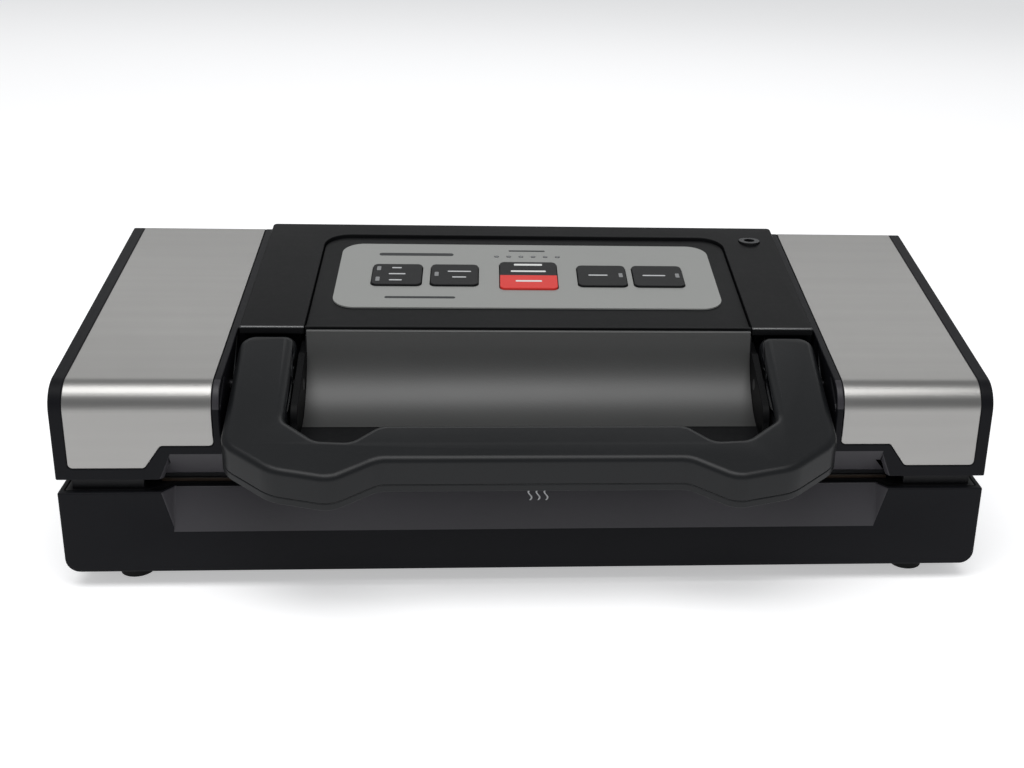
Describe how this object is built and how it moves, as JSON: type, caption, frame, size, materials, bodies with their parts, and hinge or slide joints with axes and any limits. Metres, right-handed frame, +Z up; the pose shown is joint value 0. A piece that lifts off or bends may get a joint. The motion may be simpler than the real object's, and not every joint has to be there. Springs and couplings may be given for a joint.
{
  "type": "vacuum packing machine",
  "caption": "Low countertop vacuum sealer with hinged lid, locking U-shaped handle, sunken key panel, steel-clad side pods, vacuum chamber, sealing bar and roll store.",
  "frame": {"origin": "middle of the machine's footprint, handle included, on the surface it stands on", "axes": "+X to the user's right, +Y from the user to the rear, +Z up"},
  "size_m": [0.39, 0.1993, 0.1161],
  "materials": {
    "housing_plastic": "fine satin texture, black",
    "deck_plastic": "satin, black",
    "panel_plastic": "soft satin, charcoal",
    "handle_plastic": "satin, charcoal",
    "foot_rubber": "matte",
    "gasket_foam": "fine closed foam",
    "steel_cladding": "brushed along the width",
    "steel_hardware": "bright zinc",
    "bar_phenolic": "heat resistant",
    "element_alloy": "flat strip",
    "tape_ptfe": "woven glass, non-stick",
    "tray_clear": "smooth",
    "inlet_plastic": "smooth",
    "brass_pins": "plated",
    "circuit_board": "solder mask",
    "transformer_iron": "varnished laminations",
    "switch_plastic": "smooth",
    "bracket_steel": "black",
    "rail_plastic": "satin",
    "slider_plastic": "smooth red",
    "overlay_film": "silver printed film",
    "light_pipe": "diffuse",
    "port_plastic": "smooth",
    "motor_can": "plated can",
    "pump_plastic": "glass filled",
    "valve_body": "nylon",
    "key_plastic": "dark key film",
    "key_two_tone": "red front half, dark rear half"
  },
  "bodies": {
    "base": {"base_tray": "housing_plastic", "base_deck": "deck_plastic", "roll_tray": "deck_plastic", "rubber_feet": "foot_rubber", "base_screws": "steel_hardware", "sealing_bar": "bar_phenolic", "heating_element": "element_alloy", "seal_tape": "tape_ptfe", "lower_gasket": "gasket_foam", "drip_tray": "tray_clear", "latch_strikes": "steel_hardware", "mains_inlet": "inlet_plastic", "inlet_pins": "brass_pins", "power_board": "circuit_board", "transformer": "transformer_iron", "lid_switch": "switch_plastic", "hinge_brackets": "bracket_steel", "hinge_pins": "steel_hardware", "cutter_rail": "rail_plastic", "rail_screws": "steel_hardware"},
    "cutter": {"cutter_slider": "slider_plastic", "cutter_blade": "steel_hardware"},
    "lid": {"lid_frame": "housing_plastic", "steel_panel_right": "steel_cladding", "steel_panel_left": "steel_cladding", "centre_cover": "housing_plastic", "control_panel": "panel_plastic", "panel_overlay": "overlay_film", "control_board": "circuit_board", "key_switches": "switch_plastic", "status_lights": "light_pipe", "canister_port": "port_plastic", "lid_tray": "deck_plastic", "upper_gasket": "gasket_foam", "pressure_strip": "gasket_foam", "lid_screws": "steel_hardware", "pump_motor": "motor_can", "pump_head": "pump_plastic", "pump_cushion": "gasket_foam", "release_valve": "valve_body", "pressure_switch": "switch_plastic", "latch_pins": "steel_hardware"},
    "latch": {"latch_hooks": "pump_plastic"},
    "handle": {"handle_grip": "handle_plastic", "handle_underside": "handle_plastic", "handle_pins": "steel_hardware", "handle_cams": "pump_plastic"},
    "food_button": {"food_key": "key_plastic"},
    "manual_seal_button": {"manual_seal_key": "key_plastic"},
    "vacuum_cancel_button": {"vacuum_cancel_key": "key_two_tone"},
    "pulse_button": {"pulse_key": "key_plastic"},
    "canister_button": {"canister_key": "key_plastic"}
  },
  "joints": [
    {"name": "lid_hinge", "type": "hinge", "parent": "base", "child": "lid", "pos_m": [0, 0.09165, 0.0475], "axis": [-1, 0, 0], "range_deg": [0, 70]},
    {"name": "handle_hinge", "type": "hinge", "parent": "lid", "child": "handle", "pos_m": [0, -0.03535, 0.082], "axis": [-1, 0, 0], "range_deg": [0, 70]},
    {"name": "latch_hinge", "type": "hinge", "parent": "lid", "child": "latch", "pos_m": [0, -0.02535, 0.066], "axis": [1, 0, 0], "range_deg": [0, 18]},
    {"name": "cutter_slide", "type": "slide", "parent": "base", "child": "cutter", "axis": [1, 0, 0], "range_m": [0, 0.25]},
    {"name": "food_press", "type": "slide", "parent": "lid", "child": "food_button", "axis": [0, 0.136, -0.9907], "range_m": [0, 0.0006], "stiffness_N_per_m": 400, "springref_m": -0.001},
    {"name": "manual_seal_press", "type": "slide", "parent": "lid", "child": "manual_seal_button", "axis": [0, 0.136, -0.9907], "range_m": [0, 0.0006], "stiffness_N_per_m": 400, "springref_m": -0.001},
    {"name": "vacuum_cancel_press", "type": "slide", "parent": "lid", "child": "vacuum_cancel_button", "axis": [0, 0.136, -0.9907], "range_m": [0, 0.0006], "stiffness_N_per_m": 400, "springref_m": -0.001},
    {"name": "pulse_press", "type": "slide", "parent": "lid", "child": "pulse_button", "axis": [0, 0.136, -0.9907], "range_m": [0, 0.0006], "stiffness_N_per_m": 400, "springref_m": -0.001},
    {"name": "canister_press", "type": "slide", "parent": "lid", "child": "canister_button", "axis": [0, 0.136, -0.9907], "range_m": [0, 0.0006], "stiffness_N_per_m": 400, "springref_m": -0.001}
  ],
  "couplings": [
    {"joint": "latch_hinge", "follows": "handle_hinge", "ratio": 0.25}
  ]
}
